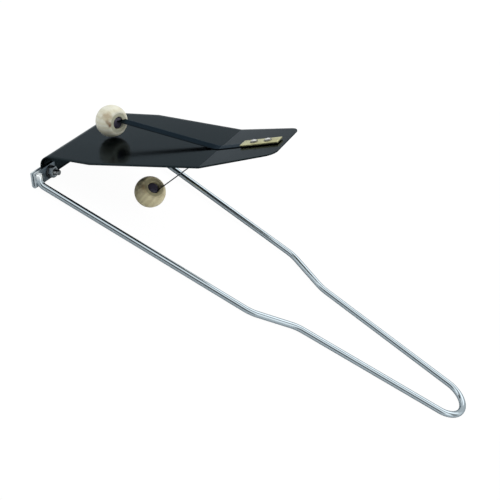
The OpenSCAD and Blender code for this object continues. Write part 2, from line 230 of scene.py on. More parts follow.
def soft_light(name, place, aim, width, depth, power):
    data = bpy.data.lights.new(name, "AREA")
    data.shape = "RECTANGLE"
    data.size = width
    data.size_y = depth
    data.energy = power
    light = bpy.data.objects.new(name, data)
    bpy.context.scene.collection.objects.link(light)
    light.location = place
    light.rotation_euler = (Vector(aim) - Vector(place)).to_track_quat("-Z", "Y").to_euler()


soft_light("top_light", (0.25, 0.80, 1.30), (0.0, 0.0, 0.0), width=1.8, depth=1.0, power=5.5)


# Rod frame
# One round steel rod, polished and chromed: two legs that join in the loop of the handle, an
# outward bend at the neck, two long arms, and a short stub turned up at the end of each arm.

ROD_RADIUS = 0.00225
ORIGIN = Vector((-0.154886, 0.0, 0.004560))
LEAN = math.radians(0.427)
SHEET_PITCH = math.radians(28.973)
ARM_Y = 0.0555
NECK_X, NECK_Y = 0.1621, 0.0431
LEG_X, LEG_Y = 0.1930, 0.0279
LOOP_X, LOOP_RADIUS = 0.3015, 0.0165
STUB_LENGTH = 0.00715
STUB_BEND = 0.005
NECK_BEND = 0.025
END_CHAMFER = 0.00035
END_FLAT = 0.00115
DIMPLE_SLOPE, DIMPLE_DEPTH = 0.00025, 0.0003


def in_frame(x, y, z=0.0):
    """A point from the frame's own axes, which start at the foot of the stubs, in metres."""
    return ORIGIN + Vector((x * math.cos(LEAN) + z * math.sin(LEAN), y,
                            z * math.cos(LEAN) - x * math.sin(LEAN)))


def rounded_path(corners, step=math.radians(3.0)):
    """Points along a bent line whose corners are given as (point, bend radius)."""
    points = [corners[0][0]]
    for (before, _), (corner, radius), (after, _) in zip(corners, corners[1:], corners[2:]):
        into = (corner - before).normalized()
        out = (after - corner).normalized()
        turn = into.angle(out)
        start = corner - into * radius * math.tan(turn / 2)
        inward = (out - into * into.dot(out)).normalized()
        centre = start + inward * radius
        count = max(2, round(turn / step))
        for i in range(count + 1):
            a = turn * i / count
            points.append(centre + radius * (into * math.sin(a) - inward * math.cos(a)))
    points.append(corners[-1][0])
    return points


def near_arm():
    """The corners of the near arm, from the end of its stub to the handle."""
    foot = Vector((0.0, -ARM_Y, 0.0))
    neck = Vector((NECK_X, -NECK_Y, 0.0))
    leg = Vector((LEG_X, -LEG_Y, 0.0))
    along = (neck - foot).normalized()
    pitch = SHEET_PITCH + LEAN
    stub = Vector((-along.x * math.sin(pitch), -along.y * math.sin(pitch), math.cos(pitch)))
    return [(foot + stub * STUB_LENGTH, 0.0), (foot, STUB_BEND), (neck, NECK_BEND),
            (leg, NECK_BEND)]


def rod_points():
    """The middle line of the whole rod, from the near stub round the loop to the far stub."""
    reach = math.hypot(LOOP_X - LEG_X, LEG_Y)
    heading = math.asin(LOOP_RADIUS / reach) - math.atan2(LEG_Y, LOOP_X - LEG_X)
    leg_end = Vector((LOOP_X - LOOP_RADIUS * math.sin(heading),
                      -LOOP_RADIUS * math.cos(heading), 0.0))
    near = rounded_path(near_arm() + [(leg_end, 0.0)])
    first, steps = -math.pi / 2 - heading, 48
    loop = []
    for i in range(1, steps):
        a = first - 2 * first * i / steps
        loop.append(Vector((LOOP_X + LOOP_RADIUS * math.cos(a), LOOP_RADIUS * math.sin(a), 0.0)))
    far = [Vector((p.x, -p.y, p.z)) for p in reversed(near)]
    return [in_frame(*p) for p in near + loop + far]


def object_from(name, mesh, finish=None):
    made = bpy.data.objects.new(name, mesh)
    bpy.context.scene.collection.objects.link(made)
    if finish is not None:
        mesh.materials.append(finish)
    return made


def mesh_from(name, points, faces, edges=()):
    mesh = bpy.data.meshes.new(name)
    mesh.from_pydata([tuple(p) for p in points], edges, faces)
    mesh.update()
    return mesh


def settled(made, sharp=35.0):
    """The piece with its modifiers worked into a plain mesh, smooth but for its sharp edges."""
    bpy.context.view_layer.update()
    evaluated = made.evaluated_get(bpy.context.evaluated_depsgraph_get())
    mesh = bpy.data.meshes.new_from_object(evaluated)
    made.modifiers.clear()
    made.data = mesh
    work = bmesh.new()
    work.from_mesh(mesh)
    bmesh.ops.remove_doubles(work, verts=work.verts, dist=1e-7)
    bmesh.ops.recalc_face_normals(work, faces=work.faces)
    work.to_mesh(mesh)
    work.free()
    mesh.polygons.foreach_set("use_smooth", [True] * len(mesh.polygons))
    mesh.set_sharp_from_angle(angle=math.radians(sharp))
    return made


def geometry_tree(name, inputs):
    """An empty geometry tree with its named inputs, as (tree, group input, group output)."""
    tree = bpy.data.node_groups.new(name, "GeometryNodeTree")
    tree.interface.new_socket("Geometry", in_out="INPUT", socket_type="NodeSocketGeometry")
    for label, kind, value in inputs:
        socket = tree.interface.new_socket(label, in_out="INPUT", socket_type=kind)
        if value is not None:
            socket.default_value = value
    tree.interface.new_socket("Geometry", in_out="OUTPUT", socket_type="NodeSocketGeometry")
    return tree, tree.nodes.new("NodeGroupInput"), tree.nodes.new("NodeGroupOutput")


def end_tree(tree, shape, given, result):
    """Ends a tree in real geometry that carries its Finish input."""
    real = tree.nodes.new("GeometryNodeRealizeInstances")
    painted = tree.nodes.new("GeometryNodeSetMaterial")
    tree.links.new(shape, real.inputs["Geometry"])
    tree.links.new(real.outputs["Geometry"], painted.inputs["Geometry"])
    tree.links.new(given.outputs["Finish"], painted.inputs["Material"])
    tree.links.new(painted.outputs["Geometry"], result.inputs["Geometry"])
    return tree


def run_tree(made, tree, values):
    """Puts a geometry tree on a piece and sets its inputs by their identifiers."""
    modifier = made.modifiers.new(tree.name, "NODES")
    modifier.node_group = tree
    for item in tree.interface.items_tree:
        if item.in_out == "INPUT" and item.name in values:
            modifier[item.identifier] = values[item.name]


def kept_number(tree, name, shape, number):
    """Keeps a number of each point under a name, for the material to read."""
    keep = tree.nodes.new("GeometryNodeStoreNamedAttribute")
    keep.data_type = "FLOAT"
    keep.domain = "POINT"
    keep.inputs["Name"].default_value = name
    tree.links.new(shape, keep.inputs["Geometry"])
    tree.links.new(number, keep.inputs["Value"])
    return keep.outputs["Geometry"]


def rod_tree():
    """A line of points swept into a round rod, with the distance along and round it kept."""
    tree, given, result = geometry_tree("drawn_rod", [
        ("Radius", "NodeSocketFloat", ROD_RADIUS), ("Sides", "NodeSocketInt", 40),
        ("Finish", "NodeSocketMaterial", None)])
    line = tree.nodes.new("GeometryNodeMeshToCurve")
    along = tree.nodes.new("GeometryNodeSplineParameter")
    ring = tree.nodes.new("GeometryNodeCurvePrimitiveCircle")
    around = tree.nodes.new("GeometryNodeSplineParameter")
    sweep = tree.nodes.new("GeometryNodeCurveToMesh")
    sweep.inputs["Fill Caps"].default_value = True
    link = tree.links.new
    link(given.outputs["Geometry"], line.inputs["Mesh"])
    link(given.outputs["Radius"], ring.inputs["Radius"])
    link(given.outputs["Sides"], ring.inputs["Resolution"])
    link(kept_number(tree, "along", line.outputs["Curve"], along.outputs["Length"]),
         sweep.inputs["Curve"])
    link(kept_number(tree, "around", ring.outputs["Curve"], around.outputs["Factor"]),
         sweep.inputs["Profile Curve"])
    return end_tree(tree, sweep.outputs["Mesh"], given, result)


line = rod_points()
ROD_LENGTH = sum((b - a).length for a, b in zip(line, line[1:]))

chrome, tree, shader = new_finish("chromed_rod", Metallic=1.0,
                                  Specular_Tint=(0.45, 0.48, 0.50, 1.0))
along = add_node(tree, "ShaderNodeAttribute", {"attribute_name": "along"}, output=2)
around = add_node(tree, "ShaderNodeAttribute", {"attribute_name": "around"}, output=2)
round_angle = around * (2 * math.pi)
drawn = add_node(tree, "ShaderNodeCombineXYZ", {},
                 {0: round_angle.math("COSINE") * 2.2, 1: round_angle.math("SINE") * 2.2,
                  2: along * 14.0})
streaks = noise(tree, drawn, 3.0, 4.0, 0.6)
speckle = noise(tree, placed(tree), 900.0, 2.0)
near_end = along.math("MINIMUM", ROD_LENGTH - along)
bare = (1.5 - near_end * 400.0).clamped()
plating = two_colours(tree, streaks, (0.46, 0.52, 0.56), (0.55, 0.62, 0.665))
feed(shader,
     Base_Color=two_colours(tree, bare, plating, (0.93, 0.95, 0.96)),
     Roughness=(0.03 + 0.08 * streaks + 0.04 * speckle).clamped(0.03, 0.3),
     Normal=bumped(tree, streaks + 0.3 * speckle, 0.00006, 0.35))

rod_line = mesh_from("rod_line", line, [], [(i, i + 1) for i in range(len(line) - 1)])
rod = object_from("chromed_rod", rod_line)
run_tree(rod, rod_tree(), {"Finish": chrome})
settled(rod, 50.0)

# The flat ends of the rod get a chamfer and a shallow dimple, as cut and turned stock has.
work = bmesh.new()
work.from_mesh(rod.data)
for face in [f for f in work.faces if len(f.verts) > 8]:
    outward = face.normal.copy()
    for inset, rise in ((END_CHAMFER, END_CHAMFER), (END_FLAT, 0.0),
                        (DIMPLE_SLOPE, -DIMPLE_DEPTH)):
        bmesh.ops.inset_region(work, faces=[face], thickness=inset)
        for vert in face.verts:
            vert.co += outward * rise
work.to_mesh(rod.data)
work.free()
rod.data.set_sharp_from_angle(angle=math.radians(40.0))
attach(rod, "frame")
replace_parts(rod, "handle_frame")


# Clamps
# A strip of plated sheet steel at each end of the head, folded under the flange of the sheet so
# that the flange lies between its two leaves, and welded to the stub of the arm.

SIDES = (("near", -1.0), ("far", 1.0))
FLANGE_U = -0.00415
FLANGE_FOOT = -0.0008
LEAF_INNER = 0.00045
LEAF_OUTER = 0.00185
LEAF_TOP = 0.008
EAR_OUTSIDE, EAR_INSIDE = 0.057, 0.033
WELD_U = -0.00165
WELD_FOOT, WELD_LENGTH = 0.0016, 0.0050
WELD_RADIUS, WELD_RIPPLE = 0.00105, 0.00009
WELD_FLATNESS = 0.85
PUDDLES = 5.5
WELD_APART, WELD_SPREAD = 0.0020, 0.0003
WELD_EDGES = (-1.0, 0.55)
# Distance across the head of the sheet's edge. Inward of it the clamp plating is painted darker as shade
# from the sheet.
SHADE_EDGE_Y = 0.0508


def in_head(u, y, n):
    """A point given along the sheet, across it, and square to it, from the foot of the stubs."""
    return ORIGIN + Vector((u * math.cos(SHEET_PITCH) - n * math.sin(SHEET_PITCH), y,
                            u * math.sin(SHEET_PITCH) + n * math.cos(SHEET_PITCH)))


def ring_faces(rings, steps, closed=False):
    """Faces between rings of points. Closed rings run back to the first; others end in caps."""
    faces = []
    for r in range(rings if closed else rings - 1):
        a, b = r * steps, (r + 1) % rings * steps
        faces += [(a + i, a + (i + 1) % steps, b + (i + 1) % steps, b + i) for i in range(steps)]
    if not closed:
        faces.append(tuple(range(steps - 1, -1, -1)))
        faces.append(tuple(range((rings - 1) * steps, rings * steps)))
    return faces


def clamp_mesh(side):
    """The folded strip, drawn as a side view and pulled out along the head."""
    fold = [(FLANGE_U + LEAF_OUTER * math.cos(a), FLANGE_FOOT - LEAF_OUTER * math.sin(a))
            for a in (math.pi * i / 16 for i in range(17))]
    gap = [(FLANGE_U - LEAF_INNER * math.cos(a), FLANGE_FOOT - LEAF_INNER * math.sin(a))
           for a in (math.pi * i / 8 for i in range(9))]
    outline = [(fold[0][0], LEAF_TOP), *fold, (fold[-1][0], LEAF_TOP),
               (gap[0][0], LEAF_TOP), *gap, (gap[-1][0], LEAF_TOP)]
    count = len(outline)
    points = [in_head(u, side * y, n) for y in (EAR_OUTSIDE, EAR_INSIDE) for u, n in outline]
    faces = [tuple(range(count)), tuple(range(2 * count - 1, count - 1, -1))]
    faces += [(i, (i + 1) % count, count + (i + 1) % count, count + i) for i in range(count)]
    return mesh_from("folded_strip", points, faces)


def weld_mesh(side):
    """Two beads of weld up the stub: short worms with a ripple at each puddle."""
    rings, steps = 26, 14
    points, faces = [], []
    for edge in WELD_EDGES:
        faces += [tuple(i + len(points) for i in face) for face in ring_faces(rings, steps)]
        for i in range(rings):
            t = i / (rings - 1)
            swell = math.sqrt(max(0.0, 1.0 - (2 * t - 1) ** 8))
            radius = (WELD_RADIUS + WELD_RIPPLE * math.sin(t * 2 * math.pi * PUDDLES)) * max(swell, 0.02)
            middle = side * (ARM_Y + edge * WELD_APART + WELD_SPREAD * (1 - t))
            for k in range(steps):
                a = 2 * math.pi * k / steps
                points.append(in_head(WELD_U + radius * WELD_FLATNESS * math.cos(a),
                                      middle + radius * math.sin(a),
                                      WELD_FOOT + WELD_LENGTH * t))
    return mesh_from("weld", points, faces)


def worn_edges(made, width, segments, angle):
    """Rounds the edges of a piece that are sharper than an angle in degrees."""
    bevel = made.modifiers.new("worn_edges", "BEVEL")
    bevel.width = width
    bevel.segments = segments
    bevel.limit_method = "ANGLE"
    bevel.angle_limit = math.radians(angle)


plated, tree, shader = new_finish("plated_steel", Metallic=1.0)
own = placed(tree)
cloud = noise(tree, own, 160.0, 4.0, 0.6)
fine = noise(tree, placed(tree, scale=(1.0, 6.0, 1.0)), 420.0, 3.0, 0.7)
across = add_node(tree, "ShaderNodeSeparateXYZ", {}, {0: own}, output=1).math("ABSOLUTE")
# Inward of the sheet's edge the clamp is painted darker: painted shade from the sheet that overhangs it.
# Outward, by the weld, it keeps the plating's own mottled colour.
sheet_shade_mask = ((across - SHADE_EDGE_Y) * 450.0 + cloud - 0.5).clamped()
mottle = (1.3 * cloud - 0.15).clamped()
painted_shade_plating = two_colours(tree, mottle, (0.12, 0.15, 0.175), (0.24, 0.29, 0.33))
bare = two_colours(tree, mottle, (0.40, 0.45, 0.48), (0.74, 0.79, 0.82))
feed(shader,
     Base_Color=two_colours(tree, sheet_shade_mask, painted_shade_plating, bare),
     Roughness=(0.26 + 0.22 * fine).clamped(),
     Normal=bumped(tree, fine + cloud, 0.00005, 0.5))

for name, side in SIDES:
    clamp = settled(object_from(name + "_clamp_ear", clamp_mesh(side), plated))
    worn_edges(clamp, 0.0002, 2, 40.0)
    settled(clamp, 40.0)
    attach(clamp, "frame")
    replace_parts(clamp, name + "_clamp")
    weld = settled(object_from(name + "_weld", weld_mesh(side), plated), 60.0)
    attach(weld, "frame")


# Clamp bolts, washers and nuts
# A blackened bolt runs through each clamp and the flange, with its head on the outer leaf. Its nut
# and a black washer are on the handle side, and a few turns of thread stand out past the nut.

BOLT_Y = 0.0395
BOLT_N = 0.0030
HEAD_U = FLANGE_U - LEAF_OUTER
WASHER_U = FLANGE_U + LEAF_OUTER
WASHER_THICK = 0.0008


def around_axis(radius, height, i, steps):
    """One of the evenly spaced points of a ring about Z."""
    a = 2 * math.pi * i / steps
    return radius * math.cos(a), radius * math.sin(a), height


def turned_points(outline, steps):
    """A side view of (radius, height) points, turned about Z."""
    return [around_axis(r, z, i, steps) for r, z in outline for i in range(steps)]


def hexagon_radius(a, flats):
    """The reach of a hexagon at an angle, for a distance across its flats."""
    return flats / 2 / math.cos((a + math.pi / 6) % (math.pi / 3) - math.pi / 6)


def hexagon_block(flats, height, hole, both):
    """A hexagon nut or bolt head, its corners cut back by a turned chamfer on one or both ends."""
    steps, slope, lead_in, lead_out = 72, 0.55, 0.0002, 0.0003
    flat_to, round_to, soften = flats * 0.46, flats * 0.478, 0.00002
    reach = [hexagon_radius(2 * math.pi * i / steps, flats) for i in range(steps)]
    cuts = [(r, max(0.0, r - round_to) * slope) for r in reach]
    above = [(flat_to, height), (round_to, height - soften)]
    below = [(round_to, soften), (flat_to, 0.0)] if both else [(flat_to, 0.0)]
    if hole:
        above = [(hole, height / 2), (hole, height - lead_in), (hole + lead_out, height)] + above
        below += [(hole + lead_out, 0.0), (hole, lead_in)]
    rings = [[place] * steps for place in above]
    rings.append([(r, height - cut) for r, cut in cuts])
    rings.append([(r, cut if both else 0.0) for r, cut in cuts])
    rings += [[place] * steps for place in below]
    points = [around_axis(r, z, i, steps) for ring in rings for i, (r, z) in enumerate(ring)]
    return mesh_from("hexagon", points, ring_faces(len(rings), steps, closed=bool(hole)))


def threaded_rod(radius, length, pitch, depth):
    """A bolt's shank with a cut thread, and a chamfer at its free end."""
    steps, per_turn = 24, 8
    rings = int(length / pitch * per_turn) + 1
    points = []
    for i in range(rings):
        z = length * i / (rings - 1)
        room = min(1.0, (length - z) / (0.9 * pitch))
        crest = radius - 0.9 * depth * (1 - room)
        for k in range(steps):
            phase = (z / pitch - k / steps) % 1.0
            groove = depth * min(1.0, 1.25 * abs(1 - 2 * phase))
            points.append(around_axis(min(crest, radius - groove), z, k, steps))
    return mesh_from("thread", points, ring_faces(rings, steps))


def washer_mesh(inner, outer, thick):
    """A stamped washer: a ring with one rolled edge."""
    outline = [(inner, 0.0), (outer, 0.0), (outer, thick * 0.7), (outer - thick * 0.35, thick),
               (inner + thick * 0.15, thick), (inner, thick * 0.8)]
    return mesh_from("washer", turned_points(outline, 64), ring_faces(len(outline), 64, True))


def spread_tree():
    """Copies a piece to each point of a mesh, turned as that point's own turn says."""
    tree, given, result = geometry_tree("set_of_pieces", [
        ("Piece", "NodeSocketObject", None), ("Finish", "NodeSocketMaterial", None)])
    piece = tree.nodes.new("GeometryNodeObjectInfo")
    turn = tree.nodes.new("GeometryNodeInputNamedAttribute")
    turn.data_type = "FLOAT_VECTOR"
    turn.inputs["Name"].default_value = "turn"
    copies = tree.nodes.new("GeometryNodeInstanceOnPoints")
    link = tree.links.new
    link(given.outputs["Geometry"], copies.inputs["Points"])
    link(given.outputs["Piece"], piece.inputs["Object"])
    link(piece.outputs["Geometry"], copies.inputs["Instance"])
    link(turn.outputs["Attribute"], copies.inputs["Rotation"])
    return end_tree(tree, copies.outputs["Instances"], given, result)


SPREAD = spread_tree()


def set_of(name, mesh, finish, places, body, nodes):
    """The same piece at several (point, turn) places, made one mesh that rides on a body."""
    pattern = object_from(name + "_pattern", mesh)
    spots = mesh_from(name + "_spots", [place for place, _ in places], [])
    turns = spots.attributes.new("turn", "FLOAT_VECTOR", "POINT")
    for entry, (_, turn) in zip(turns.data, places):
        entry.vector = turn
    made = object_from(name, spots)
    run_tree(made, SPREAD, {"Piece": pattern, "Finish": finish})
    settled(made)
    bpy.data.objects.remove(pattern)
    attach(made, body)
    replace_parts(made, *nodes)


def outward_turn(pitch, spin=0.0):
    """Turns a piece's own Z to point along a direction pitched up from +X, spun about itself."""
    return (Matrix.Rotation(math.pi / 2 - pitch, 3, "Y") @ Matrix.Rotation(spin, 3, "Z")).to_euler()


def mottled_finish(name, grain, gain, dark, light, gloss, relief, **fixed):
    """A finish whose colour, gloss and relief follow one cloudy pattern; grain is its noise."""
    finish, tree, shader = new_finish(name, **fixed)
    wear = noise(tree, placed(tree), *grain)
    feed(shader,
         Base_Color=two_colours(tree, (gain[0] * wear - gain[1]).clamped(), dark, light),
         Roughness=(gloss[0] + gloss[1] * wear).clamped(),
         Normal=bumped(tree, wear, relief, 0.5))
    return finish


def on_clamps(u, turn):
    """The places of one piece on the bolts of both clamps."""
    return [(in_head(u, side * BOLT_Y, BOLT_N), turn) for _, side in SIDES]


blackened = mottled_finish("blackened_steel", (700.0, 3.0, 0.6), (2.2, 0.8),
                           (0.06, 0.063, 0.067), (0.62, 0.63, 0.64), (0.18, 0.22), 0.00004,
                           Metallic=1.0)
# The washers are near black and stand for the dark band round each nut: a black washer and painted shade
# together.
washer_black_and_shade = mottled_finish("black_washer", (500.0, 3.0, 0.6), (1.0, 0.0),
                             (0.006, 0.007, 0.009), (0.022, 0.024, 0.028), (0.32, 0.2), 0.00005)
dull_nut = mottled_finish("dull_nut", (350.0, 4.0, 0.65), (1.0, 0.0),
                          (0.14, 0.16, 0.18), (0.50, 0.54, 0.57), (0.22, 0.25), 0.00005,
                          Metallic=1.0)

bolt_turn = outward_turn(SHEET_PITCH)
head_turn = outward_turn(SHEET_PITCH + math.pi)
bolt_thread = threaded_rod(radius=0.002, length=0.0111, pitch=0.0007, depth=0.00035)
set_of("clamp_bolt_threads", bolt_thread, blackened, on_clamps(HEAD_U, bolt_turn),
       "frame", ["near_clamp_bolt", "far_clamp_bolt"])
bolt_head = hexagon_block(flats=0.007, height=0.0023, hole=None, both=False)
set_of("clamp_bolt_heads", bolt_head, blackened, on_clamps(HEAD_U, head_turn),
       "frame", ["near_clamp_bolt", "far_clamp_bolt"])
washer = washer_mesh(inner=0.00212, outer=0.0045, thick=WASHER_THICK)
set_of("clamp_washers", washer, washer_black_and_shade, on_clamps(WASHER_U, bolt_turn),
       "frame", ["near_clamp_washer", "far_clamp_washer"])
clamp_nut = hexagon_block(flats=0.007, height=0.0032, hole=0.00195, both=True)
set_of("clamp_nuts", clamp_nut, dull_nut, on_clamps(WASHER_U + WASHER_THICK, bolt_turn),
       "frame", ["near_clamp_nut", "far_clamp_nut"])


# Sheet
# One piece of spring steel, blued almost black and polished. It stands in the clamps as a flange,
# rolls over at the root into the playing tongue, narrows, and is bent up again as a thumb tab.

TAB_BEND = math.radians(11.6)
CREASE_U = 0.107
SHEET_N = 0.0164
TAB_LENGTH = 0.048
THICK = 0.0008
ROLL_RADIUS = 0.0076
CREASE_RADIUS = 0.0015
CORNER_RADIUS = 0.0085
WIDEST_U = 0.036
FLANGE_HALF, WIDEST_HALF, CREASE_HALF, TAB_HALF = 0.0465, 0.0510, 0.0371, 0.0248
FINE_STEP, COARSE_STEP, COARSE_FROM = 0.0012, 0.0075, 0.0165


def tab_side(s, m):
    """A point over the tab in the side view of the head, along it and square to its middle."""
    return (CREASE_U + s * math.cos(TAB_BEND) - m * math.sin(TAB_BEND),
            SHEET_N + s * math.sin(TAB_BEND) + m * math.cos(TAB_BEND))


TAB_END_U = tab_side(TAB_LENGTH, 0.0)[0]


def sheet_half_width(u):
    """Half of the sheet's width at a distance from the head, straight from corner to corner."""
    stations = [(FLANGE_U, FLANGE_HALF), (WIDEST_U, WIDEST_HALF), (CREASE_U, CREASE_HALF),
                (TAB_END_U, TAB_HALF)]
    for (u0, w0), (u1, w1) in zip(stations, stations[1:]):
        if u <= u1:
            return w0 + (w1 - w0) * max(0.0, (u - u0) / (u1 - u0))
    return stations[-1][1]


def tongue_rows():
    """Rows of (place in the side view, half width), from the flange over the roll to the crease."""
    roll_end, roll_n = FLANGE_U + ROLL_RADIUS, SHEET_N - ROLL_RADIUS
    places = []
    for i in range(25):
        a = math.pi - math.pi / 2 * i / 24
        places.append((roll_end + ROLL_RADIUS * math.cos(a), roll_n + ROLL_RADIUS * math.sin(a)))
    crease_from = CREASE_U - CREASE_RADIUS * math.tan(TAB_BEND / 2)
    straight = [roll_end + FINE_STEP * i for i in range(1, 10)] + [WIDEST_U]
    straight += [COARSE_FROM + COARSE_STEP * i for i in range(12)]
    places += [(u, SHEET_N) for u in sorted(straight) if u < crease_from - 0.001]
    for i in range(7):
        a = TAB_BEND * i / 6
        places.append((crease_from + CREASE_RADIUS * math.sin(a),
                       SHEET_N + CREASE_RADIUS * (1 - math.cos(a))))
    flange = [((FLANGE_U, FLANGE_FOOT + (roll_n - FLANGE_FOOT) * i / 6), FLANGE_HALF)
              for i in range(6)]
    return flange + [(place, sheet_half_width(place[0])) for place in places]


def tab_rows():
    """The same rows along the tab, whose end has two round corners."""
    narrow = (CREASE_HALF - TAB_HALF) / (TAB_END_U - CREASE_U)
    secant = math.sqrt(1 + narrow * narrow)
    corner_u = TAB_END_U - CORNER_RADIUS
    corner_y = TAB_HALF + narrow * CORNER_RADIUS - CORNER_RADIUS * secant
    touch_u = corner_u + CORNER_RADIUS * narrow / secant
    rows = []
    for s in (0.004 + 0.006 * i for i in range(6)):
        u, n = tab_side(s, 0.0)
        if u < touch_u - 0.001:
            rows.append(((u, n), sheet_half_width(u)))
    start = math.acos((touch_u - corner_u) / CORNER_RADIUS)
    for i in range(15):
        a = start * (1 - i / 14)
        u = corner_u + CORNER_RADIUS * math.cos(a)
        n = SHEET_N + (u - CREASE_U) * math.tan(TAB_BEND)
        rows.append(((u, n), corner_y + CORNER_RADIUS * math.sin(a)))
    return rows


def ribbon_mesh(name, rows, columns):
    """Sheet metal without its thickness, from rows of (place in the side view, middle, half)."""
    points, faces = [], []
    for (u, n), middle, half in rows:
        points += [in_head(u, middle + half * (2 * k / columns - 1), n)
                   for k in range(columns + 1)]
    for r in range(len(rows) - 1):
        for k in range(columns):
            a = r * (columns + 1) + k
            faces.append((a, a + 1, a + columns + 2, a + columns + 1))
    return mesh_from(name, points, faces)


def thicken(made, thick, even=False):
    """Gives sheet metal its thickness, half to each side."""
    solidify = made.modifiers.new("gauge", "SOLIDIFY")
    solidify.thickness = thick
    solidify.offset = 0.0
    solidify.use_even_offset = even


blued, tree, shader = new_finish("blued_spring_steel", Metallic=1.0,
                                 Specular_Tint=(0.60, 0.62, 0.64, 1.0))
own = placed(tree)
mottle = noise(tree, own, 38.0, 4.0, 0.55)
rolled = placed(tree, turn=(0.0, SHEET_PITCH, 0.0), scale=(1.0, 14.0, 1.0))
rolling = noise(tree, rolled, 60.0, 4.0, 0.6)
dust = noise(tree, own, 1500.0, 1.0)
feed(shader,
     Base_Color=two_colours(tree, mottle, (0.0145, 0.021, 0.0235), (0.0205, 0.0285, 0.0325)),
     Roughness=(0.09 + 0.07 * mottle + 0.06 * rolling).clamped(0.05, 0.4),
     Normal=bumped(tree, rolling * 0.5 + dust * 0.12, 0.00003, 0.3))

sheet_rows = [(place, 0.0, half) for place, half in tongue_rows() + tab_rows()]
sheet = object_from("spring_steel_sheet", ribbon_mesh("sheet", sheet_rows, 36), blued)
thicken(sheet, THICK, even=True)
worn_edges(sheet, 0.00016, 2, 50.0)
settled(sheet, 45.0)
in_head(0.002, 0, SHEET_N)
in_head(0.014, 0, SHEET_N)
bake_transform(sheet)
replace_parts(sheet, "sheet_root", "sheet_tongue")


# Flat springs
# Two narrow strips of black spring steel, clamped one over and one under the thumb tab. The upper
# one lifts off at the crease and the lower one drops away, each with a bead at its end.

STRIP_Y = -0.0008
STRIP_HALF = 0.0037
STRIP_THICK = 0.0005
STRIP_M = THICK / 2 + STRIP_THICK / 2
STRIP_TAIL = 0.0424
UPPER_LIFT = math.radians(10.15)
LOWER_DROP = math.radians(38.0)
UPPER_LENGTH, LOWER_LENGTH = 0.0827, 0.0652
CREASE_ROUND, UPPER_ROUND, LOWER_ROUND = 0.004, 0.012, 0.010
UPPER_BEND_U, LOWER_BEND_S = 0.1035, -0.0062


def strip_piece(name, corners):
    """A strip of spring steel along a bent side view, its long edges rounded."""
    line = rounded_path([(Vector((u, 0.0, n)), r) for u, n, r in corners], math.radians(1.5))
    rows = []
    for a, b in zip(line, line[1:]):
        count = max(1, round((b - a).length / 0.004))
        rows += [a.lerp(b, i / count) for i in range(count)]
    rows = [((p.x, p.z), STRIP_Y, STRIP_HALF) for p in rows + [line[-1]]]
    made = object_from(name, ribbon_mesh(name, rows, 6), black_spring)
    thicken(made, STRIP_THICK)
    worn_edges(made, 0.00017, 3, 50.0)
    return settled(made, 45.0)


def spring_tip(bend, dip, length):
    """The end of a straight spring that runs back from its bend and drops by an angle."""
    return bend[0] - length * math.cos(dip), bend[1] - length * math.sin(dip)


black_spring, tree, shader = new_finish("black_spring_steel", Metallic=1.0,
                                        Specular_Tint=(0.5, 0.54, 0.58, 1.0))
cloud = noise(tree, placed(tree), 120.0, 3.0, 0.6)
rolled = placed(tree, turn=(0.0, SHEET_PITCH, 0.0), scale=(1.0, 30.0, 30.0))
lines = noise(tree, rolled, 45.0, 3.0, 0.6)
feed(shader,
     Base_Color=two_colours(tree, cloud, (0.011, 0.015, 0.019), (0.019, 0.024, 0.029)),
     Roughness=(0.14 + 0.12 * lines + 0.06 * cloud).clamped(),
     Normal=bumped(tree, lines, 0.00004, 0.35))

upper_bend = (UPPER_BEND_U, SHEET_N + STRIP_M)
lower_bend = tab_side(LOWER_BEND_S, -STRIP_M)
crease_over = (CREASE_U - STRIP_M * math.tan(TAB_BEND / 2), SHEET_N + STRIP_M)
upper_tip = spring_tip(upper_bend, -UPPER_LIFT, UPPER_LENGTH)
lower_tip = spring_tip(lower_bend, LOWER_DROP, LOWER_LENGTH)

upper_strip = strip_piece("upper_flat_spring", [
    (*tab_side(STRIP_TAIL, STRIP_M), 0.0), (*crease_over, CREASE_ROUND),
    (*upper_bend, UPPER_ROUND), (*upper_tip, 0.0)])
in_head(upper_bend[0] + 0.001, 0, upper_bend[1])
in_head(upper_bend[0] - 0.012, 0, upper_bend[1])
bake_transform(upper_strip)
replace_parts(upper_strip, "upper_spring_root", "upper_spring_arm")

lower_strip = strip_piece("lower_flat_spring", [
    (*tab_side(STRIP_TAIL, -STRIP_M), 0.0), (*lower_bend, LOWER_ROUND), (*lower_tip, 0.0)])
in_head(lower_bend[0] + 0.003, 0, lower_bend[1] + 0.001)
in_head(lower_bend[0] - 0.005, 0, lower_bend[1] - 0.004)
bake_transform(lower_strip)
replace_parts(lower_strip, "lower_spring_root", "lower_spring_arm")


# Brass plates
# Two pale brass plates, sawn from brushed strip, that squeeze both springs and the tab together.

PLATE_MIDDLE = 0.030
PLATE_HALF_LENGTH = 0.0134
PLATE_HALF_WIDTH = 0.0048
PLATE_THICK = 0.0013
PLATE_LOW = THICK / 2 + STRIP_THICK
PLATE_TOP = PLATE_LOW + PLATE_THICK
TAB_PITCH = SHEET_PITCH + TAB_BEND


def on_tab(s, y, m):
    """A point given along the thumb tab from the crease, across it, and square to its middle."""
    u, n = tab_side(s, m)
    return in_head(u, y, n)


def box_mesh(name, points):
    """A box from the corners of its two ends, four and four."""
    return mesh_from(name, points, [(3, 2, 1, 0), (4, 5, 6, 7), (0, 1, 5, 4), (1, 2, 6, 5),
                                    (2, 3, 7, 6), (3, 0, 4, 7)])


def plate_piece(name, low):
    """A plate with broken edges, its lower face at a height over the middle of the tab."""
    points = [on_tab(PLATE_MIDDLE + s * PLATE_HALF_LENGTH, STRIP_Y + y * PLATE_HALF_WIDTH, m)
              for m in (low, low + PLATE_THICK) for s, y in CORNERS]
    made = object_from(name, box_mesh(name, points), brass)
    worn_edges(made, 0.00028, 3, 30.0)
    settled(made, 50.0)
    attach(made, "sheet")
    return made


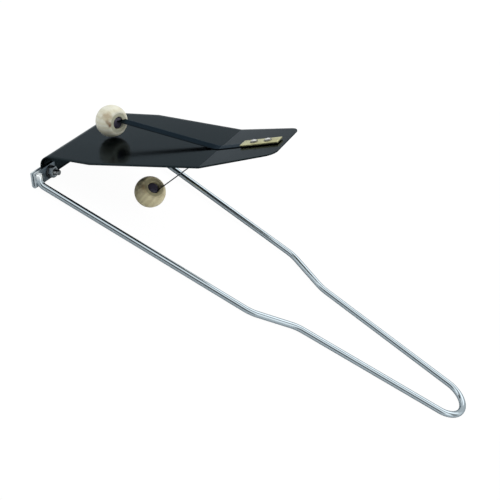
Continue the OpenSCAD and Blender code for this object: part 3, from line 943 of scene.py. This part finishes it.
brass, tree, shader = new_finish("brushed_brass", Metallic=1.0)
brushed = placed(tree, turn=(0.0, TAB_PITCH, 0.0), scale=(1.0, 22.0, 22.0))
brush = noise(tree, brushed, 140.0, 4.0, 0.65)
tarnish = noise(tree, placed(tree), 210.0, 4.0, 0.6)
pale = two_colours(tree, brush, (0.53, 0.50, 0.26), (0.79, 0.76, 0.46))
feed(shader,
     Base_Color=two_colours(tree, (2.4 * tarnish - 1.15).clamped(), pale, (0.40, 0.35, 0.17)),
     Roughness=(0.26 + 0.20 * brush).clamped(),
     Normal=bumped(tree, brush, 0.00005, 0.5))

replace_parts(plate_piece("upper_brass_plate", PLATE_LOW), "top_plate")
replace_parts(plate_piece("lower_brass_plate", -PLATE_TOP), "bottom_plate")


# Plate screws and nuts
# Two round head screws with a sawn slot, bright plated, and a small nut on each under the tab.

SCREW_APART = 0.0049
SCREW_PLACES = (PLATE_MIDDLE + SCREW_APART, PLATE_MIDDLE - SCREW_APART)
SCREW_HEIGHT, SCREW_RADIUS, SCREW_RIM = 0.0015, 0.00275, 0.0003
SLOT_HALF, SLOT_DEPTH, SAW_REACH = 0.0005, 0.0008, 0.004
# Where the painted dark outline of the screw heads begins, and how far above the plate its centre lies.
EDGE_SHADE_FROM, EDGE_SHADE_CENTRE = 0.0016, 0.0009


def cut_by(made, blade):
    """Takes the shape of another piece out of a piece."""
    cut = made.modifiers.new("cut", "BOOLEAN")
    cut.operation = "DIFFERENCE"
    cut.object = blade
    cut.solver = "EXACT"


def screw_head():
    """A domed head, turned, with its slot sawn across."""
    steps, dome, foot = 64, 14, 0.0001
    ball = (SCREW_RADIUS ** 2 + SCREW_HEIGHT ** 2) / 2 / SCREW_HEIGHT
    outline = [(SCREW_RADIUS - foot, -foot), (SCREW_RADIUS, 0.0), (SCREW_RADIUS, SCREW_RIM)]
    edge = math.asin((SCREW_RADIUS - foot) / ball)
    outline += [(ball * math.sin(a), SCREW_HEIGHT - ball + ball * math.cos(a))
                for a in (edge * (1 - i / dome) for i in range(1, dome))]
    faces = ring_faces(len(outline), steps)
    head = object_from("head", mesh_from("head", turned_points(outline, steps), faces))
    blade = object_from("saw", box_mesh("saw", [
        (x * SAW_REACH, y * SLOT_HALF, z)
        for z in (SCREW_HEIGHT - SLOT_DEPTH, SCREW_HEIGHT + 0.001) for x, y in CORNERS]))
    cut_by(head, blade)
    worn_edges(head, 0.00007, 2, 45.0)
    settled(head)
    mesh = head.data
    bpy.data.objects.remove(blade)
    bpy.data.objects.remove(head)
    return mesh


def distance_from(tree, own, point):
    """How far the surface is from a point."""
    return add_node(tree, "ShaderNodeVectorMath", {"operation": "DISTANCE"},
                    {0: own, 1: tuple(point)}, output=1)


bright, tree, shader = new_finish("bright_plated_screw", Metallic=1.0)
own = placed(tree)
cloud = noise(tree, own, 500.0, 3.0, 0.6)
# Round the edge of each head the plating is painted dark: painted shade, the dark outline where the head
# meets the plate.
front, rear = [distance_from(tree, own, on_tab(s, STRIP_Y, PLATE_TOP + EDGE_SHADE_CENTRE))
               for s in SCREW_PLACES]
painted_edge_shade = ((front.math("MINIMUM", rear) - EDGE_SHADE_FROM) * 2200.0).clamped()
polished = two_colours(tree, cloud, (0.78, 0.78, 0.76), (0.95, 0.94, 0.91))
feed(shader,
     Base_Color=two_colours(tree, painted_edge_shade * 0.9, polished, (0.10, 0.095, 0.075)),
     Roughness=(0.14 + 0.14 * cloud).clamped(),
     Normal=bumped(tree, cloud, 0.00004, 0.4))

up_turn = outward_turn(TAB_PITCH + math.pi / 2, math.radians(60.0))
down_turn = outward_turn(TAB_PITCH - math.pi / 2)
set_of("plate_screw_heads", screw_head(), bright,
       [(on_tab(s, STRIP_Y, PLATE_TOP), up_turn) for s in SCREW_PLACES],
       "sheet", ["front_plate_screw", "rear_plate_screw"])
screw_thread = threaded_rod(radius=0.0015, length=0.0076, pitch=0.0005, depth=0.00025)
set_of("plate_screw_threads", screw_thread, bright,
       [(on_tab(s, STRIP_Y, PLATE_TOP), down_turn) for s in SCREW_PLACES],
       "sheet", ["front_plate_screw", "rear_plate_screw"])
plate_nut = hexagon_block(flats=0.0055, height=0.0024, hole=0.00148, both=True)
set_of("plate_nuts", plate_nut, bright,
       [(on_tab(s, STRIP_Y, -PLATE_TOP), down_turn) for s in SCREW_PLACES],
       "sheet", ["front_plate_nut", "rear_plate_nut"])


# Beads
# Two turned wooden beads, cut flat and bored, lacquered. The spring goes in at the side of the
# bore, and a dark stained plug is driven in beside it.

BEAD_R = 0.011
BORE_R = 0.00415
FLAT = 0.0072
RIM_ROUNDING = 0.0026
BORE_LIP = ((0.0012, 0.0), (0.0005, 0.00003), (0.00015, 0.0002), (0.0, 0.0006))
BEAD_TIP, BEAD_TURN = math.radians(9.0), math.radians(20.0)
SEAT_LENGTH, SEAT_SLACK = 0.030, 0.0001
# Within this reach from the bead's middle, on the flats and down the bore, the wood is coloured darker
# as end grain and painted shade.
END_GRAIN_SHADE_FROM = 0.0101


def bead_outline():
    """The bead's side view as (radius, place along the bore), from the skin into the bore."""
    soft = RIM_ROUNDING
    middle = math.sqrt((BEAD_R - soft) ** 2 - (FLAT - soft) ** 2)
    edge = math.atan2(FLAT - soft, middle)
    skin = [(BEAD_R * math.cos(a), BEAD_R * math.sin(a))
            for a in (edge * (2 * i / 40 - 1) for i in range(41))]
    rounding = [(middle + soft * math.cos(a), FLAT - soft + soft * math.sin(a))
                for a in (edge + (math.pi / 2 - edge) * i / 12 for i in range(1, 13))]
    end = rounding + [(BORE_R + wide, FLAT - deep) for wide, deep in BORE_LIP]
    bore = [(BORE_R, x) for x in (0.003, 0.0, -0.003)]
    return skin + end + bore + [(r, -x) for r, x in reversed(end)]


def plug_outline():
    """The plug's side view: a slack fit in the bore, with both ends turned down."""
    r, x = BORE_R - 0.00005, FLAT - 0.0004
    side = [(r, 0.0), (r, x - 0.0016), (r - 0.0002, x - 0.0009), (r - 0.0006, x - 0.0002),
            (r - 0.0010, x), (r * 0.4, x + 0.0001), (0.00002, x + 0.00012)]
    return [(a, -b) for a, b in reversed(side[1:])] + side


def bead_axes(pitch):
    """The bead's own X along its bore, tipped and turned away from its spring."""
    return Matrix.Rotation(pitch - BEAD_TIP, 3, "Y") @ Matrix.Rotation(-BEAD_TURN, 3, "Z")


def slot_cutter(bend, tip, name):
    """A bar round the end of a spring, a little wider than it, that cuts its seat in the wood."""
    bend, tip = Vector(bend), Vector(tip)
    along = (tip - bend).normalized()
    square = Vector((-along.y, along.x))
    half, wide = STRIP_THICK / 2 + SEAT_SLACK, STRIP_HALF + SEAT_SLACK
    points = []
    for end in (tip - along * SEAT_LENGTH, tip + along * SEAT_SLACK):
        for y, h in CORNERS:
            place = end + square * h * half
            points.append(in_head(place.x, STRIP_Y + y * wide, place.y))
    return settled(object_from(name, box_mesh(name, points)))


def wood_finish(name, colours, axes, place, marks_and_shade):
    """Turned hardwood under satin lacquer: rings and rays along the bore, and a few spots: knots and
    stains in the wood, and on the lower bead painted shade.
    """
    pale, deep, shadow = colours
    finish, tree, shader = new_finish(name, Coat_Weight=0.35, Coat_Roughness=0.16, Coat_IOR=1.45)
    own = own_place(tree)
    centred = add_node(tree, "ShaderNodeVectorMath", {"operation": "SUBTRACT"},
                       {0: own, 1: tuple(place)})
    grainwise = add_node(tree, "ShaderNodeMapping", {},
                         {"Vector": centred, "Rotation": tuple(axes.transposed().to_euler())})
    stretched = add_node(tree, "ShaderNodeMapping", {},
                         {"Vector": grainwise, "Scale": (0.12, 1.0, 1.0)})
    waver = noise(tree, stretched, 260.0, 4.0, 0.6)
    rings = add_node(tree, "ShaderNodeTexWave",
                     {"wave_type": "BANDS", "bands_direction": "Z", "wave_profile": "SIN"},
                     {"Vector": stretched, "Scale": 95.0, "Distortion": 3.2, "Detail": 3.0,
                      "Detail Scale": 1.6, "Detail Roughness": 0.6}, output=1)
    pores = noise(tree, stretched, 1900.0, 2.0, 0.5)
    patch = noise(tree, grainwise, 150.0, 4.0, 0.65, 0.6)
    body = two_colours(tree, (0.55 * rings + 0.6 * waver - 0.1).clamped(), pale, deep)
    clouded = two_colours(tree, (3.4 * patch - 1.75).clamped() * 0.5, body, shadow)
    skin = two_colours(tree, (2.2 * pores - 1.25).clamped() * 0.5, clouded, shadow)
    # Each spot darkens the skin towards its colour. On the lower bead two of them are painted shade from
    # the sheet above.
    for centre, size, strength, spot_colour in marks_and_shade:
        spot = distance_from(tree, own, place + Vector(centre))
        mark_and_shade_mask = (1.25 - spot * (1.0 / size) + 2.4 * waver - 1.2 + 1.6 * patch - 0.8).clamped()
        skin = two_colours(tree, mark_and_shade_mask * strength, skin, spot_colour)
    # On the flat ends and down the bore the wood is coloured darker: partly end grain, partly painted
    # shade in the bore and on the flat rings.
    reach = distance_from(tree, own, place)
    end_grain_and_shade = ((END_GRAIN_SHADE_FROM - reach) * 3000.0 + 2.0 * pores - 1.0).clamped()
    skin = two_colours(tree, end_grain_and_shade * 0.6, skin, (0.52 * deep[0], 0.56 * deep[1], 0.54 * deep[2]))
    feed(shader,
         Base_Color=skin,
         Roughness=(0.42 + 0.18 * pores).clamped(),
         Normal=bumped(tree, pores + 0.6 * waver, 0.00005, 0.3))
    return finish


def carved(name, outline, steps, axes, place, cutter, finish, body, node):
    """A turned piece, set in its place, with the seat of the spring cut out of it."""
    points = [axes @ Vector((z, x, y)) + place for x, y, z in turned_points(outline, steps)]
    made = object_from(name, mesh_from(name, points, ring_faces(len(outline), steps, True)), finish)
    settled(made)
    cut_by(made, cutter)
    settled(made, 40.0)
    made.data.materials.clear()
    made.data.materials.append(finish)
    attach(made, body)
    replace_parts(made, node)


def bead_on_spring(name, bend, tip, dip, reach, offset, y, colours, marks_and_shade):
    """A bead and its plug. The reach is from the spring's bend to the bead's middle, and the
    offset is square to the spring. Each spot has a place, a size, a strength and a colour; knots and
    stains in the wood are spots, and so is painted shade."""
    along = Vector((math.cos(dip), math.sin(dip)))
    middle = Vector(bend) - along * reach + Vector((-along.y, along.x)) * offset
    place = in_head(middle.x, y, middle.y)
    axes = bead_axes(-SHEET_PITCH - dip)
    cutter = slot_cutter(bend, tip, name + "_seat")
    wood = wood_finish(name + "_turned_wood", colours, axes, place, marks_and_shade)
    carved(name + "_wooden_bead", bead_outline(), 96, axes, place, cutter, wood,
           name + "_clapper", name + "_bead")
    carved(name + "_stained_plug", plug_outline(), 64, axes, place, cutter, stained,
           name + "_clapper", name + "_bead_plug")
    bpy.data.objects.remove(cutter)


stained = mottled_finish("stained_plug", (700.0, 4.0, 0.7), (2.4, 0.7),
                         (0.008, 0.008, 0.014), (0.085, 0.072, 0.125), (0.42, 0.3), 0.00012,
                         Coat_Weight=0.15, Coat_Roughness=0.3)
bead_on_spring(
    "upper", upper_bend, upper_tip, -UPPER_LIFT, reach=0.0777, offset=-0.0023, y=-0.0010,
    colours=((0.97, 0.94, 0.80), (0.80, 0.74, 0.54), (0.45, 0.34, 0.20)),
    marks_and_shade=(((0.0040, -0.0100, 0.0024), 0.0021, 0.95, (0.26, 0.14, 0.07)),
           ((0.0014, -0.0103, 0.0040), 0.0015, 0.60, (0.34, 0.20, 0.10)),
           ((-0.0012, -0.0084, 0.0070), 0.0029, 0.65, (0.44, 0.30, 0.13))))
bead_on_spring(
    "lower", lower_bend, lower_tip, LOWER_DROP, reach=0.0602, offset=0.0023, y=-0.0024,
    # The lower bead's colours are darker and yellower than the upper's: partly the wood's own tone,
    # partly painted shade from the sheet above it.
    colours=((0.92, 0.82, 0.52), (0.66, 0.55, 0.32), (0.30, 0.21, 0.12)),
    marks_and_shade=(((-0.0032, -0.0077, 0.0063), 0.0030, 0.65, (0.36, 0.23, 0.11)),
           # These two dark grey spots, on the top and top left of the lower bead, are painted shade
           # where the sheet above keeps the light off.
           ((-0.0082, -0.0032, 0.0056), 0.0052, 0.60, (0.13, 0.11, 0.09)),
           ((-0.0016, -0.0060, 0.0087), 0.0024, 0.85, (0.06, 0.06, 0.07))))
